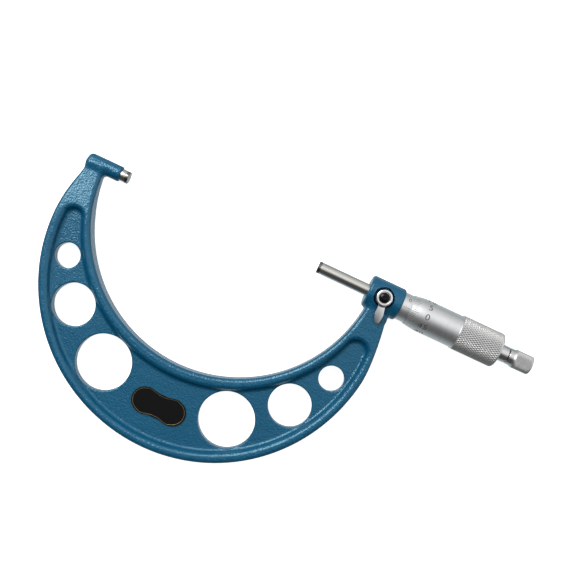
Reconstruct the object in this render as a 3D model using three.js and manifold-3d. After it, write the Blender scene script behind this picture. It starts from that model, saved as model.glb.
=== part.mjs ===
// An outside micrometer, 125 to 150 mm, in millimetres.
// The origin is the centre of the anvil's measuring face. +X runs along the spindle axis from the anvil to the
// spindle, +Z points out of the front of the frame, and the C of the frame hangs towards -Y.
// The spindle stands at its lowest reading, with its measuring face at x = 125.

import * as THREE from "three";
import { ConvexGeometry } from "three/addons/geometries/ConvexGeometry.js";
import { mergeVertices } from "three/addons/utils/BufferGeometryUtils.js";
import Module from "manifold-3d";

const wasm = await Module();
wasm.setup();

// ---- Driving dimensions ----

const GAP = 0.3; // running and seating clearance between separate pieces
const JOINT_LINE = 0.05; // clearance between faces that are brazed or screwed together
const LOWEST_READING = 125;

// Frame: a C between two arcs, with a thick rim round a thin web.
const INNER_ARC = { x: 73.3, y: -0.7, r: 88.0 };
const OUTER_ARC = { x: 74.25, y: -36.6, r: 105.25 };
const RIM_HALF = 7.3; // half the thickness of the rim
const WEB_HALF = 3.3; // half the thickness of the web
const RIM_CHAMFER = 2.0;
const INNER_RIM_WIDTH = 7.8;
const OUTER_RIM_WIDTH = 6.8;
const RECESS_END_RADIUS = 3.9;
const C_TOP_Y = -18; // the C ends here, and the two necks go on
const RIGHT_NECK_HALF = 7.0;
const HOLE_MIDDLE_X = 73.6; // the six holes lie in pairs on both sides of this line
const HOLES = [
  { away: 40.5, y: -106.0, r: 17.1 },
  { away: 71.2, y: -82.3, r: 13.1 },
  { away: 86.85, y: -57.2, r: 7.7 },
];

// Arm that holds the anvil.
const ARM = { start: -28, end: -5, r: 4.75, chamfer: 1.2 };
const ANVIL_RADIUS = 3.75;
const ANVIL_SHANK_RADIUS = 3.0;
const ANVIL_SHANK_START = -20;
const TIP_LENGTH = 1.8; // carbide tips of the anvil and the spindle
const TIP_CHAMFER = 0.25;

// Boss that holds the spindle.
const BOSS = { start: 156.5, end: 178.3, r: 10, chamfer: 1.2 };
const SLEEVE_SEAT_X = 173;
const SLEEVE_SEAT_RADIUS = 6.3;

// Spindle and its nut.
const SPINDLE_RADIUS = 3.75;
const THREAD = { start: 186, end: 229, r: 4.1 };
const TAPER = { start: 233.3, end: 242.8, large: 4.6, small: 3.5 };
const SLEEVE = { start: 178.6, end: 213, r: 8.7, bore: 7.0 };
const NUT_BODY = { end: 221, shank: 6.0, body: 6.7, split: 5.9, guideEnd: 184.5 };
const ADJUSTING_NUT = { start: 213.6, end: 219.6, r: 8.2 };

// Thimble.
const THIMBLE = {
  start: 185,
  end: 243.7,
  bore: 8.9,
  edge: 9.1,
  bevelX: 187.2,
  bevel: 9.6,
  barrelX: 194.8,
  barrel: 10.25,
  knurlX: 216.4,
  knurl: 10.9,
  hubX: 233,
};

// Ratchet stop.
const STEM = { collarEnd: 249.7, collar: 5.2, post: 2.2, postEnd: 261.0, thread: 1.6 };
const CAP = { start: 250.3, flareX: 253, knurlX: 254.2, end: 265.4, neck: 5.2, knurl: 5.75, bore: 4.4 };
const CAP_WALL_X = 261.8; // inner face of the cap's end wall
const WHEEL = { start: 257.8, end: 259.8, bore: 2.5, r: 4.1 };
const RATCHET_TEETH = 12;
const TOOTH_HEIGHT = 1.0;
const SPRING = { start: 250.1, end: 257.0, r: 3.3, wire: 0.3, turns: 5 };

// Spindle lock: a stud in the front of the boss, turned by a small lever.
const LOCK_X = 167.8;
const LOCK_Y = -0.5;
const PAD_TOP = 9.4; // the flat pad on the boss that the lever stands on
const PAD_RADIUS = 6.0;
const STUD_RADIUS = 2.5;
const WASHER = { r: 5.4, bore: 2.0, bottom: 9.5, top: 9.8 };
const LEVER = { bottom: 9.9, floor: 10.6, top: 12.1, r: 4.9, bore: 3.5, hole: 2.0 };
const LEVER_TAIL = { root: 2.1, middleY: -9.8, middle: 2.75, tipY: -15.95, bottom: 9.95, top: 11.4 };
const LEVER_TILT = 7; // degrees that the lever's tail leans towards the thimble
const LOCK_SCREW = { head: 3.2, bottom: 10.9, rim: 11.7, top: 13.0, shank: 0.8 };

// Nameplate: two round lobes with a waist between them.
const PLATE = { x: 74.2, y: -115.7, lobe: 8, spread: 9.2, waist: 7.2, thickness: 0.8 };

const FINE = 56; // sides of the round pieces that show
const COARSE = 32; // sides of the small and hidden round pieces
const ARC_STEP = 3.2; // degrees between points on the frame's arcs

// ---- Helpers ----

const radians = THREE.MathUtils.degToRad;

function material(color, roughness, metalness) {
  return new THREE.MeshStandardMaterial({ color, roughness, metalness });
}

function solidOf(geometry) {
  const bare = geometry.index ? geometry.toNonIndexed() : geometry.clone();
  bare.deleteAttribute("normal");
  bare.deleteAttribute("uv");
  const merged = mergeVertices(bare, 1e-4);
  return new wasm.Manifold(
    new wasm.Mesh({
      numProp: 3,
      vertProperties: new Float32Array(merged.attributes.position.array),
      triVerts: new Uint32Array(merged.index.array),
    }),
  );
}

function geometryOf(solid) {
  const mesh = solid.getMesh();
  return new THREE.BufferGeometry()
    .setAttribute("position", new THREE.BufferAttribute(new Float32Array(mesh.vertProperties), 3))
    .setIndex(new THREE.BufferAttribute(new Uint32Array(mesh.triVerts), 1));
}

function shapeOf(points) {
  return new THREE.Shape(points.map(([x, y]) => new THREE.Vector2(x, y)));
}

// A solid of revolution about the X axis. The profile's corners are [x, radius], in either order round it.
function turned(profile, sides = COARSE) {
  const points = [...profile, profile[0]].map(([x, r]) => new THREE.Vector2(r, x));
  if (THREE.ShapeUtils.area(points) < 0) points.reverse();
  return solidOf(new THREE.LatheGeometry(points, sides).rotateZ(-Math.PI / 2));
}

// The same about an axis along Z through (x, y), with corners [z, radius].
function turnedUpright(profile, x, y, sides = COARSE) {
  return solidOf(geometryOf(turned(profile, sides)).rotateY(-Math.PI / 2).translate(x, y, 0));
}

function rod(startX, endX, r, sides = COARSE) {
  return turned([[startX, 0], [startX, r], [endX, r], [endX, 0]], sides);
}

function post(x, y, r, bottom, top, sides = COARSE) {
  return turnedUpright([[bottom, 0], [bottom, r], [top, r], [top, 0]], x, y, sides);
}

function tube(startX, endX, bore, r, sides = COARSE) {
  return turned([[startX, bore], [startX, r], [endX, r], [endX, bore]], sides);
}

// An outline in XY raised from bottom to top, with chamfered edges if asked.
function plate(outline, bottom, top, chamfer = 0) {
  const shape = outline instanceof THREE.Shape ? outline : shapeOf(outline);
  const geometry = new THREE.ExtrudeGeometry(shape, {
    depth: top - bottom - 2 * chamfer,
    bevelEnabled: chamfer > 0,
    bevelThickness: chamfer,
    bevelSize: chamfer,
    bevelOffset: -chamfer,
    bevelSegments: 1,
    curveSegments: 8,
  });
  return solidOf(geometry.translate(0, 0, bottom + chamfer));
}

function arcPoints(centre, r, fromDegrees, toDegrees, step = ARC_STEP) {
  const count = Math.max(2, Math.ceil(Math.abs(toDegrees - fromDegrees) / step));
  return Array.from({ length: count + 1 }, (_, i) => {
    const angle = radians(fromDegrees + ((toDegrees - fromDegrees) * i) / count);
    return [centre.x + r * Math.cos(angle), centre.y + r * Math.sin(angle)];
  });
}

// How far round an arc lies at height y on its right (+1) or left (-1) side, in degrees above the horizontal.
function riseAt(arc, y) {
  return THREE.MathUtils.radToDeg(Math.asin((y - arc.y) / arc.r));
}

function xOn(arc, y, side) {
  return arc.x + side * Math.sqrt(arc.r ** 2 - (y - arc.y) ** 2);
}

// ---- Frame ----

function cOutline() {
  const outer = riseAt(OUTER_ARC, C_TOP_Y);
  const inner = riseAt(INNER_ARC, C_TOP_Y);
  return [
    ...arcPoints(OUTER_ARC, OUTER_ARC.r, outer, -180 - outer),
    ...arcPoints(INNER_ARC, INNER_ARC.r, -180 - inner, inner),
  ];
}

// The centre of the circle that rounds off the recess on one side, touching both of its long edges.
function recessEnd(side, innerEdge, outerEdge) {
  const fromInner = innerEdge + RECESS_END_RADIUS;
  const fromOuter = outerEdge - RECESS_END_RADIUS;
  const dx = OUTER_ARC.x - INNER_ARC.x;
  const dy = OUTER_ARC.y - INNER_ARC.y;
  const apart = Math.hypot(dx, dy);
  const along = (fromInner ** 2 - fromOuter ** 2 + apart ** 2) / (2 * apart);
  const across = Math.sqrt(fromInner ** 2 - along ** 2);
  return {
    x: INNER_ARC.x + (along * dx - side * across * dy) / apart,
    y: INNER_ARC.y + (along * dy + side * across * dx) / apart,
  };
}

function directionFrom(a, b) {
  return THREE.MathUtils.radToDeg(Math.atan2(b.y - a.y, b.x - a.x));
}

function recessOutline() {
  const innerEdge = INNER_ARC.r + INNER_RIM_WIDTH;
  const outerEdge = OUTER_ARC.r - OUTER_RIM_WIDTH;
  const right = recessEnd(1, innerEdge, outerEdge);
  const left = recessEnd(-1, innerEdge, outerEdge);
  const outerRight = directionFrom(OUTER_ARC, right);
  const outerLeft = directionFrom(OUTER_ARC, left);
  return [
    ...arcPoints(OUTER_ARC, outerEdge, outerRight, outerLeft - 360),
    ...arcPoints(left, RECESS_END_RADIUS, outerLeft, directionFrom(left, INNER_ARC), 20),
    ...arcPoints(INNER_ARC, innerEdge, directionFrom(INNER_ARC, left), directionFrom(INNER_ARC, right)),
    ...arcPoints(right, RECESS_END_RADIUS, directionFrom(right, INNER_ARC), outerRight, 20),
  ];
}

// The left neck thins from the rim to the arm, so its side profile is a wedge.
function leftNeck() {
  const bottom = C_TOP_Y - 4;
  const outline = [
    [xOn(INNER_ARC, bottom, -1), bottom],
    [xOn(INNER_ARC, -10, -1), -10],
    [xOn(INNER_ARC, -1, -1), -1],
    [-26.4, -1],
    [-26.6, -7],
    [-28.2, -12],
    [xOn(OUTER_ARC, bottom, -1), bottom],
  ];
  const side = shapeOf([
    [bottom, RIM_HALF],
    [-3, 4.2],
    [0, 4.0],
    [0, -4.0],
    [-3, -4.2],
    [bottom, -RIM_HALF],
  ]);
  const wedge = new THREE.ExtrudeGeometry(side, { depth: 30, bevelEnabled: false });
  // Turns the profile's (y, z) plane upright, with its depth along X.
  wedge.rotateX(Math.PI / 2).rotateZ(Math.PI / 2).translate(-35, 0, 0);
  return plate(outline, -RIM_HALF - 1, RIM_HALF + 1).intersect(solidOf(wedge));
}

function rightNeck() {
  const bottom = C_TOP_Y - 2;
  const outline = [
    [xOn(INNER_ARC, bottom, 1), bottom],
    [xOn(OUTER_ARC, bottom, 1), bottom],
    [176.2, -12],
    [177.0, -4],
    [160.2, -4],
    [xOn(INNER_ARC, -12, 1), -12],
  ];
  return plate(outline, -RIGHT_NECK_HALF, RIGHT_NECK_HALF, RIM_CHAMFER);
}

function chamferedRod({ start, end, r, chamfer }, sides) {
  return turned(
    [
      [start, 0],
      [start, r - chamfer],
      [start + chamfer, r],
      [end - chamfer, r],
      [end, r - chamfer],
      [end, 0],
    ],
    sides,
  );
}

function makeFrame() {
  let body = plate(cOutline(), -RIM_HALF, RIM_HALF, RIM_CHAMFER);
  const recess = recessOutline();
  body = body.subtract(plate(recess, WEB_HALF, RIM_HALF + 1));
  body = body.subtract(plate(recess, -RIM_HALF - 1, -WEB_HALF));
  for (const { away, y, r } of HOLES) {
    for (const side of [-1, 1]) {
      body = body.subtract(post(HOLE_MIDDLE_X + side * away, y, r, -RIM_HALF - 1, RIM_HALF + 1, 40));
    }
  }
  body = body.add(leftNeck()).add(rightNeck());
  body = body.add(chamferedRod(ARM, COARSE)).add(chamferedRod(BOSS, FINE));
  body = body.add(post(LOCK_X, LOCK_Y, PAD_RADIUS, SPINDLE_RADIUS + 1.5, PAD_TOP));
  body = body.subtract(post(LOCK_X, LOCK_Y, PAD_RADIUS, PAD_TOP, BOSS.r + 1));
  const anvilBore = rod(ANVIL_SHANK_START - GAP, ARM.end + 1, ANVIL_SHANK_RADIUS + GAP);
  const spindleBore = rod(BOSS.start - 1, BOSS.end + 1, SPINDLE_RADIUS + GAP);
  const sleeveSeat = rod(SLEEVE_SEAT_X, BOSS.end + 1, SLEEVE_SEAT_RADIUS);
  const studBore = post(LOCK_X, LOCK_Y, STUD_RADIUS + GAP, 1, PAD_TOP + 1);
  return body.subtract(anvilBore).subtract(spindleBore).subtract(sleeveSeat).subtract(studBore);
}

function makeNameplate() {
  const lobes = [1, -1].map((side) => ({ x: PLATE.x + side * PLATE.spread, y: PLATE.y }));
  const bottom = WEB_HALF + JOINT_LINE;
  const top = bottom + PLATE.thickness;
  let solid = plate(arcPoints(lobes[0], PLATE.lobe, 0, 350, 10), bottom, top);
  solid = solid.add(plate(arcPoints(lobes[1], PLATE.lobe, 0, 350, 10), bottom, top));
  const bar = [
    [lobes[1].x, PLATE.y - PLATE.waist],
    [lobes[0].x, PLATE.y - PLATE.waist],
    [lobes[0].x, PLATE.y + PLATE.waist],
    [lobes[1].x, PLATE.y + PLATE.waist],
  ];
  return solid.add(plate(bar, bottom, top));
}

// ---- Anvil and spindle ----

function makeAnvil() {
  const shoulder = ARM.end + JOINT_LINE;
  return turned([
    [ANVIL_SHANK_START, 0],
    [ANVIL_SHANK_START, ANVIL_SHANK_RADIUS],
    [shoulder, ANVIL_SHANK_RADIUS],
    [shoulder, ANVIL_RADIUS],
    [-TIP_LENGTH - JOINT_LINE, ANVIL_RADIUS],
    [-TIP_LENGTH - JOINT_LINE, 0],
  ]);
}

// A carbide disc whose measuring face stands at faceX and looks along facing (+1 or -1 on X).
function makeTip(faceX, facing) {
  return turned([
    [faceX, 0],
    [faceX, ANVIL_RADIUS - TIP_CHAMFER],
    [faceX - facing * TIP_CHAMFER, ANVIL_RADIUS],
    [faceX - facing * TIP_LENGTH, ANVIL_RADIUS],
    [faceX - facing * TIP_LENGTH, 0],
  ]);
}

function makeSpindle() {
  const start = LOWEST_READING + TIP_LENGTH + JOINT_LINE;
  const tapped = STEM.thread + GAP;
  return turned(
    [
      [start, 0],
      [start, SPINDLE_RADIUS],
      [THREAD.start - 1, SPINDLE_RADIUS],
      [THREAD.start, THREAD.r],
      [THREAD.end, THREAD.r],
      [THREAD.end + 1, SPINDLE_RADIUS],
      [TAPER.start - 1, SPINDLE_RADIUS],
      [TAPER.start, TAPER.large],
      [TAPER.end, TAPER.small],
      [TAPER.end, tapped],
      [TAPER.start - 1, tapped],
      [TAPER.start - 1, 0],
    ],
    COARSE,
  );
}

// ---- Sleeves and adjusting nut ----

// The nut body: pressed into the boss, bored for the spindle, and split in three at its threaded end.
function makeInnerSleeve() {
  const splitStart = ADJUSTING_NUT.start - 1;
  let solid = turned([
    [SLEEVE_SEAT_X + GAP, SPINDLE_RADIUS + GAP],
    [SLEEVE_SEAT_X + GAP, NUT_BODY.shank],
    [SLEEVE.start, NUT_BODY.shank],
    [SLEEVE.start, NUT_BODY.body],
    [splitStart, NUT_BODY.body],
    [splitStart, NUT_BODY.split],
    [NUT_BODY.end, NUT_BODY.split],
    [NUT_BODY.end, THREAD.r + GAP],
    [NUT_BODY.guideEnd, THREAD.r + GAP],
    [NUT_BODY.guideEnd, SPINDLE_RADIUS + GAP],
  ]);
  for (const turn of [0, 120, 240]) {
    const slit = new THREE.BoxGeometry(NUT_BODY.end - splitStart + 2, 0.6, 4);
    slit.translate((NUT_BODY.end + splitStart) / 2 + 2, 0, NUT_BODY.split - 1).rotateX(radians(turn));
    solid = solid.subtract(solidOf(slit));
  }
  return solid;
}

// The graduated outer sleeve, with the small hole at its back for the zero-setting spanner.
function makeGraduatedSleeve() {
  const wrenchHole = post(SLEEVE.start + 3, 0, 0.8, -SLEEVE.r - 1, -SLEEVE.bore + 0.5, 12);
  return tube(SLEEVE.start, SLEEVE.end, SLEEVE.bore, SLEEVE.r, FINE).subtract(wrenchHole);
}

function makeAdjustingNut() {
  const nut = tube(ADJUSTING_NUT.start, ADJUSTING_NUT.end, NUT_BODY.split + GAP, ADJUSTING_NUT.r);
  const middle = (ADJUSTING_NUT.start + ADJUSTING_NUT.end) / 2;
  return nut.subtract(post(middle, 0, 1, NUT_BODY.split + 1, ADJUSTING_NUT.r + 1, 12));
}

function makeThimble() {
  const { start, end, bore, hubX } = THIMBLE;
  const chamfer = 0.9;
  return turned(
    [
      [start, bore],
      [start, THIMBLE.edge],
      [THIMBLE.bevelX, THIMBLE.bevel],
      [THIMBLE.barrelX, THIMBLE.barrel],
      [THIMBLE.knurlX, THIMBLE.barrel],
      [THIMBLE.knurlX + 0.3, THIMBLE.knurl],
      [end - chamfer, THIMBLE.knurl],
      [end, THIMBLE.knurl - chamfer],
      [end, TAPER.small + GAP],
      [hubX, TAPER.large + GAP],
      [hubX, bore],
    ],
    FINE,
  );
}

// ---- Ratchet stop ----

function makeRatchetStem() {
  const collarStart = THIMBLE.end + JOINT_LINE;
  const tapped = 1.3;
  return turned([
    [TAPER.start, 0],
    [TAPER.start, STEM.thread],
    [collarStart, STEM.thread],
    [collarStart, STEM.collar],
    [STEM.collarEnd, STEM.collar],
    [STEM.collarEnd, STEM.post],
    [STEM.postEnd, STEM.post],
    [STEM.postEnd, tapped],
    [STEM.postEnd - 6, tapped],
    [STEM.postEnd - 6, 0],
  ]);
}

// A helix of round wire round the stem's post.
function makeRatchetSpring() {
  const length = SPRING.end - SPRING.start - 2 * SPRING.wire;
  const points = Array.from({ length: SPRING.turns * 12 + 1 }, (_, i) => {
    const angle = (i / 12) * 2 * Math.PI;
    const x = SPRING.start + SPRING.wire + (length * i) / (SPRING.turns * 12);
    return new THREE.Vector3(x, SPRING.r * Math.cos(angle), SPRING.r * Math.sin(angle));
  });
  const section = shapeOf(arcPoints({ x: 0, y: 0 }, SPRING.wire, 0, 300, 60));
  const geometry = new THREE.ExtrudeGeometry(section, {
    steps: SPRING.turns * 12,
    extrudePath: new THREE.CatmullRomCurve3(points),
    bevelEnabled: false,
  });
  return solidOf(geometry);
}

// A ring of saw-teeth about X, rising from rootX by TOOTH_HEIGHT, from one radius to another.
// The teeth of the wheel and of the cap have the same slope, so they lie in each other's gaps.
function toothRing(rootX, facing, bore, r) {
  const pitch = 360 / RATCHET_TEETH;
  let ring;
  for (let i = 0; i < RATCHET_TEETH; i++) {
    const first = radians(i * pitch);
    const last = radians((i + 1) * pitch - 2);
    const corner = (x, radius, angle) =>
      new THREE.Vector3(x, radius * Math.cos(angle), radius * Math.sin(angle));
    const overlap = -facing * 0.4; // sinks the tooth into the face that carries it
    const height = facing * TOOTH_HEIGHT;
    const corners = [
      corner(rootX + overlap, bore, first),
      corner(rootX + overlap, r, first),
      corner(rootX + overlap, bore, last),
      corner(rootX + overlap, r, last),
      corner(rootX + 0.1 * facing, bore, facing > 0 ? first : last),
      corner(rootX + 0.1 * facing, r, facing > 0 ? first : last),
      corner(rootX + height, bore, facing > 0 ? last : first),
      corner(rootX + height, r, facing > 0 ? last : first),
    ];
    const tooth = solidOf(new ConvexGeometry(corners));
    ring = ring ? ring.add(tooth) : tooth;
  }
  return ring;
}

function makeRatchetWheel() {
  const wheel = tube(WHEEL.start, WHEEL.end, WHEEL.bore, WHEEL.r);
  return wheel.add(toothRing(WHEEL.end, 1, WHEEL.bore + 0.1, WHEEL.r - 0.1));
}

function makeRatchetCap() {
  const screwHole = STEM.post - 0.7;
  const headSeatX = CAP.end - 1.9;
  const shell = turned(
    [
      [CAP.start, CAP.bore],
      [CAP.start, CAP.neck],
      [CAP.flareX, CAP.neck],
      [CAP.knurlX, CAP.knurl],
      [CAP.end - 0.7, CAP.knurl],
      [CAP.end, CAP.knurl - 0.7],
      [CAP.end, 2.9],
      [headSeatX, 2.9],
      [headSeatX, screwHole],
      [CAP_WALL_X, screwHole],
      [CAP_WALL_X, CAP.bore],
    ],
    FINE,
  );
  return shell.add(toothRing(CAP_WALL_X, -1, WHEEL.bore + 0.1, WHEEL.r - 0.1));
}

// The shoulder screw that holds the cap on the stem's post and lets it turn.
function makeRatchetScrew() {
  const headX = CAP.end - 1.9 + 0.15;
  const head = turned([
    [STEM.postEnd - 5, 0],
    [STEM.postEnd - 5, 1.0],
    [headX, 1.0],
    [headX, 2.6],
    [CAP.end - 0.6, 2.6],
    [CAP.end - 0.3, 2.2],
    [CAP.end - 0.3, 0],
  ]);
  const slot = new THREE.BoxGeometry(1, 6, 0.6).translate(CAP.end - 0.3, 0, 0);
  return head.subtract(solidOf(slot));
}

// ---- Spindle lock ----

function makeLockPad() {
  const bottom = SPINDLE_RADIUS + GAP;
  return post(LOCK_X, LOCK_Y, STUD_RADIUS - 0.1, bottom, bottom + 0.6);
}

function makeLockStud() {
  const bottom = SPINDLE_RADIUS + GAP + 0.7;
  const spigotTop = LEVER.floor + 0.1;
  const tapped = LOCK_SCREW.shank + GAP;
  return turnedUpright(
    [
      [bottom, 0],
      [bottom, STUD_RADIUS],
      [WASHER.bottom - 0.2, STUD_RADIUS],
      [WASHER.bottom - 0.2, 1.7],
      [spigotTop, 1.7],
      [spigotTop, tapped],
      [bottom + 2, tapped],
      [bottom + 2, 0],
    ],
    LOCK_X,
    LOCK_Y,
  );
}

function makeLockWasher() {
  const { r, bore, bottom, top } = WASHER;
  return turnedUpright([[bottom, bore], [bottom, r], [top, r], [top, bore]], LOCK_X, LOCK_Y);
}

function leverTailShape() {
  const { root, middleY, middle, tipY } = LEVER_TAIL;
  const shape = new THREE.Shape();
  shape.moveTo(root, -4);
  shape.bezierCurveTo(root, -5.5, middle, middleY + 2, middle, middleY);
  shape.bezierCurveTo(middle, middleY - 3, 1.2, tipY, 0, tipY);
  shape.bezierCurveTo(-1.2, tipY, -middle, middleY - 3, -middle, middleY);
  shape.bezierCurveTo(-middle, middleY + 2, -root, -5.5, -root, -4);
  return shape;
}

function makeLockLever() {
  const cup = turnedUpright(
    [
      [LEVER.bottom, LEVER.hole],
      [LEVER.bottom, LEVER.r - 0.3],
      [LEVER.bottom + 0.3, LEVER.r],
      [LEVER.top - 0.6, LEVER.r],
      [LEVER.top, LEVER.r - 0.6],
      [LEVER.top, LEVER.bore + 0.3],
      [LEVER.floor, LEVER.bore],
      [LEVER.floor, LEVER.hole],
    ],
    0,
    0,
    40,
  );
  const tail = plate(leverTailShape(), LEVER_TAIL.bottom, LEVER_TAIL.top, 0.4);
  const lever = geometryOf(cup.add(tail));
  return solidOf(lever.rotateZ(radians(LEVER_TILT)).translate(LOCK_X, LOCK_Y, 0));
}

function makeLockScrew() {
  const { head, bottom, rim, top, shank } = LOCK_SCREW;
  const shankBottom = SPINDLE_RADIUS + GAP + 3.2;
  const screw = turnedUpright(
    [
      [shankBottom, 0],
      [shankBottom, shank],
      [bottom, shank],
      [bottom, head],
      [rim, head],
      [rim + 0.7, head - 0.6],
      [top, 1.6],
      [top, 0],
    ],
    LOCK_X,
    LOCK_Y,
  );
  return screw.subtract(post(LOCK_X, LOCK_Y, 1.15, top - 1, top + 1, 6));
}

// ---- Assembly ----

const PAINT = material(0x2a6288, 0.5, 0.1);
const STEEL = material(0xb9b8b2, 0.25, 1.0);
const CARBIDE = material(0x77746e, 0.3, 1.0);
const SATIN_CHROME = material(0xb6b8ba, 0.45, 1.0);
const CHROME = material(0xe2e4e6, 0.12, 1.0);
const BLACK_STEEL = material(0x141414, 0.4, 0.7);
const BRASS = material(0xb5933f, 0.35, 1.0);
const PLATE_ENAMEL = material(0x0e0e0e, 0.45, 0.2);

const PIECES = {
  frame: [makeFrame(), PAINT],
  anvil: [makeAnvil(), STEEL],
  anvil_tip: [makeTip(0, 1), CARBIDE],
  nameplate: [makeNameplate(), PLATE_ENAMEL],
  inner_sleeve: [makeInnerSleeve(), STEEL],
  graduated_sleeve: [makeGraduatedSleeve(), SATIN_CHROME],
  adjusting_nut: [makeAdjustingNut(), STEEL],
  lock_pad: [makeLockPad(), BRASS],
  lock_washer: [makeLockWasher(), BLACK_STEEL],
  lock_stud: [makeLockStud(), STEEL],
  lock_lever: [makeLockLever(), CHROME],
  lock_screw: [makeLockScrew(), BLACK_STEEL],
  spindle_tip: [makeTip(LOWEST_READING, -1), CARBIDE],
  spindle: [makeSpindle(), STEEL],
  thimble: [makeThimble(), SATIN_CHROME],
  ratchet_stem: [makeRatchetStem(), CHROME],
  ratchet_spring: [makeRatchetSpring(), STEEL],
  ratchet_wheel: [makeRatchetWheel(), STEEL],
  ratchet_cap: [makeRatchetCap(), SATIN_CHROME],
  ratchet_screw: [makeRatchetScrew(), STEEL],
};

const micrometer = new THREE.Group();
for (const [name, [solid, finish]] of Object.entries(PIECES)) {
  const mesh = new THREE.Mesh(geometryOf(solid), finish);
  mesh.name = name;
  micrometer.add(mesh);
}

export default micrometer;
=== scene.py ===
"""The looks of an outside micrometer, 125 to 150 mm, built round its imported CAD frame.

Shapes are worked out in millimetres and become metres when a mesh is made. The spindle lies along X,
the front of the tool looks along +Z, and the C of the frame hangs towards -Y. An angle round the spindle
axis is 0 at the front and grows towards +Y.
"""

import math

import bmesh
import bpy
import numpy as np
import openvdb
from mathutils import Matrix, Vector


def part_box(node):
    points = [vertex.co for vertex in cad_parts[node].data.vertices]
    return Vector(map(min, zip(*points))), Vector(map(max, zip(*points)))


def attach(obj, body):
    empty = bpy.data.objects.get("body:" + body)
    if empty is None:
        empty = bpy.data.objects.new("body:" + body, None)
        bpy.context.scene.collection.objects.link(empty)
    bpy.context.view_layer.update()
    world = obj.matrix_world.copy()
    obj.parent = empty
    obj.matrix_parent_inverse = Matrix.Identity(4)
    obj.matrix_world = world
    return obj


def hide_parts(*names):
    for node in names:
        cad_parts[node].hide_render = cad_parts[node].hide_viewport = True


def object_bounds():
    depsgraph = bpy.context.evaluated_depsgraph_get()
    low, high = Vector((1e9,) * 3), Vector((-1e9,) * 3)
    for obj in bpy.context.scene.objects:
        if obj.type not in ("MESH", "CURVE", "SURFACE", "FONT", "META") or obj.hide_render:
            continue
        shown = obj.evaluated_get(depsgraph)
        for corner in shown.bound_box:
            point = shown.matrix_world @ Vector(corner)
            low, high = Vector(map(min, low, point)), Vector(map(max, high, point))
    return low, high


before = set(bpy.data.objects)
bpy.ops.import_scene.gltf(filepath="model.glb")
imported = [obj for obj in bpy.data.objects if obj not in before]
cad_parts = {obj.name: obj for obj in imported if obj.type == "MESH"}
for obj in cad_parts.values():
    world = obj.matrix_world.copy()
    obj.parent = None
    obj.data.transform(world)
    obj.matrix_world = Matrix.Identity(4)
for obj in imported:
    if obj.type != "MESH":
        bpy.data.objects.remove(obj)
cad_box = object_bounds()

MM = 0.001


def span(node):
    """The lowest and highest corner of a CAD node, in millimetres."""
    low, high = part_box(node)
    return low / MM, high / MM


# ---- Sizes, in millimetres ----

# The bow of the frame: the C between two arcs, with a recess on both sides between two raised rims.
frame_low, frame_high = span("frame")
INNER_ARC = (73.3, -0.7, 88.0)  # x, y and radius of the C's inside
OUTER_ARC_CENTRE = (74.25, -36.6)
OUTER_SWELL = 0.35  # how far the cast outer edge swells out, and shrinks in between, three times round
OUTER_RADIUS = OUTER_ARC_CENTRE[1] - frame_low.y - OUTER_SWELL
RIM_HALF = 7.3  # half of the thickness at the rims
RIM_ROUNDING = 2.5
WEB_HALF = 3.3  # half of the thickness in the recess
INNER_RIM = 7.6  # the width of the inner rim at the bottom of the bow
OUTER_RIM = 6.8
RECESS_DROP = 2.9  # the recess's inner arc has its centre this much lower, so that rim thins upwards
RECESS_CENTRE = (INNER_ARC[0], INNER_ARC[1] - RECESS_DROP)
RECESS_RADIUS = INNER_ARC[2] + INNER_RIM - RECESS_DROP
RECESS_ENDS = {-1: 4.75, 1: 5.95}  # radius of the recess's left and right end
RECESS_DRAFT = 0.43  # how far a wall of the recess leans out for each unit of its height
RECESS_EDGE = 1.6  # the rounding where a wall meets the rim
RECESS_FILLET = 1.2  # and where it meets the web
HOLES = [(40.5, -106.0, 17.1), (71.2, -82.3, 13.1), (86.85, -57.2, 7.7)]  # distance from middle, y, radius
HOLE_MIDDLE_X = 73.6

# The necks, which carry the anvil's arm on the left and the spindle's boss on the right.
NECK_LEFT_X = -26.2
NECK_RIGHT_X = 176.5
NECK_RIGHT_SLOPE = 0.13  # how far the right edge leans out, for each unit below the neck's bottom
NECK_BOTTOM_Y = -14
NECK_TOP_Y = -1
LEFT_NECK_HALF = 4.2  # half of its thickness at the top
NECK_THINNING_Y = (-36, 1)  # the heights between which it thins to that
NECK_THINNING_X = (90, 50)  # the bow keeps its full thickness right of these
ARM_START = -27.2
ARM_END = span("anvil_tip")[0].x - 3.2
ARM_RADIUS = 4.75
ARM_FILLET = 2.6
BOSS_LENGTH = 21.8
BOSS_END = frame_high.x
BOSS_START = BOSS_END - BOSS_LENGTH
BOSS_RADIUS = frame_high.y
BOSS_FILLET = 2.4

# The spindle lock: a round pad on the boss with a washer, a lever and a screw on it.
lock_low, lock_high = span("lock_washer")
LOCK_X = (lock_low.x + lock_high.x) / 2
LOCK_Y = (lock_low.y + lock_high.y) / 2
PAD_TOP = lock_low.z - 0.1
PAD_RADIUS = 6.0
LEVER_TILT = math.radians(7)

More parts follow.
